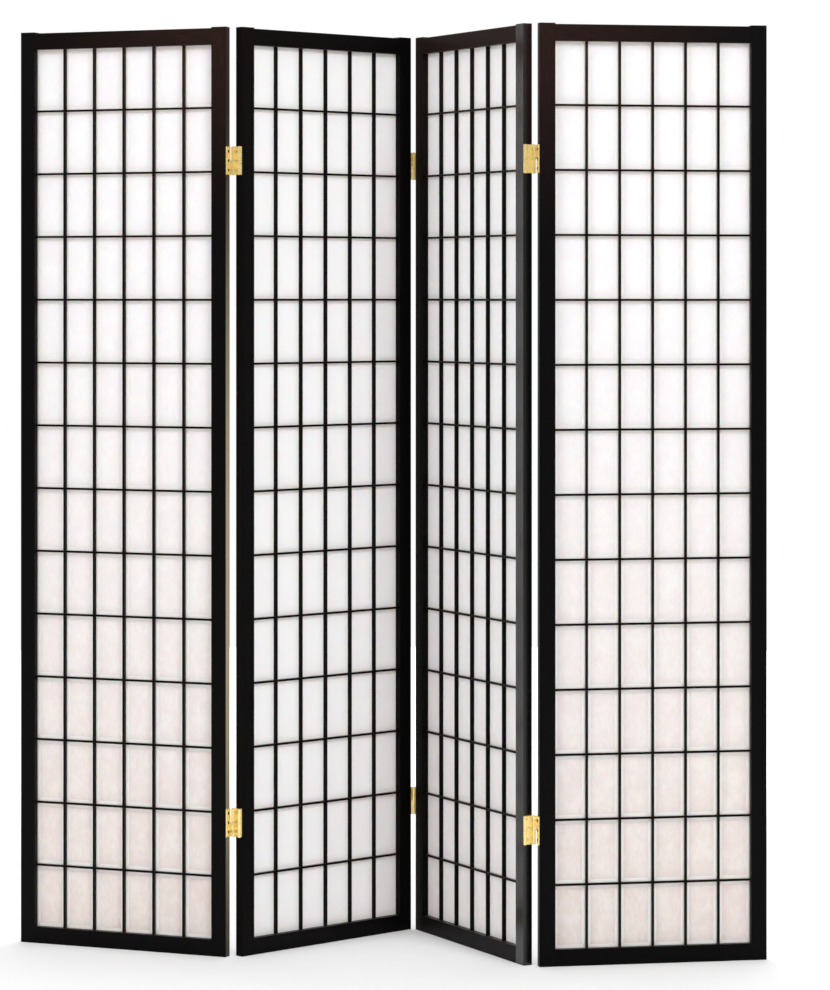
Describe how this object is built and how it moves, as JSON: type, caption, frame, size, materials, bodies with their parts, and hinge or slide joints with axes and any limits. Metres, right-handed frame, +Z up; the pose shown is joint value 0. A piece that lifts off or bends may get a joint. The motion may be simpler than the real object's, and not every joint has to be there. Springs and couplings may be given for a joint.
{
  "type": "shoji folding screen",
  "caption": "Free-standing folding screen: framed lattice panels backed with translucent paper, joined by double-action brass hinges.",
  "frame": {"origin": "on the floor, under the middle of the screen's box as it stands folded in a zigzag", "axes": "+X to the right seen from the front, -Y to the front, +Z up the panels"},
  "size_m": [1.4462, 0.4262, 1.785],
  "materials": {
    "lacquered_wood": "satin black lacquer over wood",
    "paper": "translucent fibrous paper",
    "brass": "bright brass plate",
    "steel": "plain steel pin"
  },
  "bodies": {
    "panel_1": {"panel_1_left_stile": "lacquered_wood", "panel_1_right_stile": "lacquered_wood", "panel_1_top_rail": "lacquered_wood", "panel_1_bottom_rail": "lacquered_wood", "panel_1_vertical_bars": "lacquered_wood", "panel_1_horizontal_bars": "lacquered_wood", "panel_1_paper": "paper", "left_fold_lower_back_leaf": "brass", "left_fold_upper_back_leaf": "brass"},
    "panel_2": {"panel_2_left_stile": "lacquered_wood", "panel_2_right_stile": "lacquered_wood", "panel_2_top_rail": "lacquered_wood", "panel_2_bottom_rail": "lacquered_wood", "panel_2_vertical_bars": "lacquered_wood", "panel_2_horizontal_bars": "lacquered_wood", "panel_2_paper": "paper", "left_fold_lower_front_leaf": "brass", "left_fold_upper_front_leaf": "brass", "middle_fold_lower_front_leaf": "brass", "middle_fold_upper_front_leaf": "brass"},
    "panel_3": {"panel_3_left_stile": "lacquered_wood", "panel_3_right_stile": "lacquered_wood", "panel_3_top_rail": "lacquered_wood", "panel_3_bottom_rail": "lacquered_wood", "panel_3_vertical_bars": "lacquered_wood", "panel_3_horizontal_bars": "lacquered_wood", "panel_3_paper": "paper", "middle_fold_lower_back_leaf": "brass", "middle_fold_upper_back_leaf": "brass", "right_fold_lower_front_leaf": "brass", "right_fold_upper_front_leaf": "brass"},
    "panel_4": {"panel_4_left_stile": "lacquered_wood", "panel_4_right_stile": "lacquered_wood", "panel_4_top_rail": "lacquered_wood", "panel_4_bottom_rail": "lacquered_wood", "panel_4_vertical_bars": "lacquered_wood", "panel_4_horizontal_bars": "lacquered_wood", "panel_4_paper": "paper", "right_fold_lower_back_leaf": "brass", "right_fold_upper_back_leaf": "brass"},
    "left_fold_links": {"left_fold_lower_centre_leaf": "brass", "left_fold_upper_centre_leaf": "brass", "left_fold_front_pins": "steel", "left_fold_back_pins": "steel"},
    "middle_fold_links": {"middle_fold_lower_centre_leaf": "brass", "middle_fold_upper_centre_leaf": "brass", "middle_fold_front_pins": "steel", "middle_fold_back_pins": "steel"},
    "right_fold_links": {"right_fold_lower_centre_leaf": "brass", "right_fold_upper_centre_leaf": "brass", "right_fold_front_pins": "steel", "right_fold_back_pins": "steel"}
  },
  "joints": [
    {"name": "left_fold_front_hinge", "type": "hinge", "parent": "panel_2", "child": "left_fold_links", "pos_m": [-0.28576, -0.11083, 0.8925], "axis": [0, 0, -1], "range_deg": [-177, 0]},
    {"name": "left_fold_back_hinge", "type": "hinge", "parent": "left_fold_links", "child": "panel_1", "pos_m": [-0.29872, -0.09693, 0.8925], "axis": [0, 0, -1], "range_deg": [-65, 112]},
    {"name": "middle_fold_front_hinge", "type": "hinge", "parent": "panel_2", "child": "middle_fold_links", "pos_m": [0.04847, 0.20085, 0.8925], "axis": [0, 0, -1], "range_deg": [-105.5, 71.5]},
    {"name": "middle_fold_back_hinge", "type": "hinge", "parent": "middle_fold_links", "child": "panel_3", "pos_m": [0.06532, 0.20962, 0.8925], "axis": [0, 0, -1], "range_deg": [-177, 0]},
    {"name": "right_fold_front_hinge", "type": "hinge", "parent": "panel_3", "child": "right_fold_links", "pos_m": [0.25949, -0.20452, 0.8925], "axis": [0, 0, 1], "range_deg": [-177, 0]},
    {"name": "right_fold_back_hinge", "type": "hinge", "parent": "right_fold_links", "child": "panel_4", "pos_m": [0.27634, -0.19574, 0.8925], "axis": [0, 0, 1], "range_deg": [-72.5, 104.5]}
  ]
}
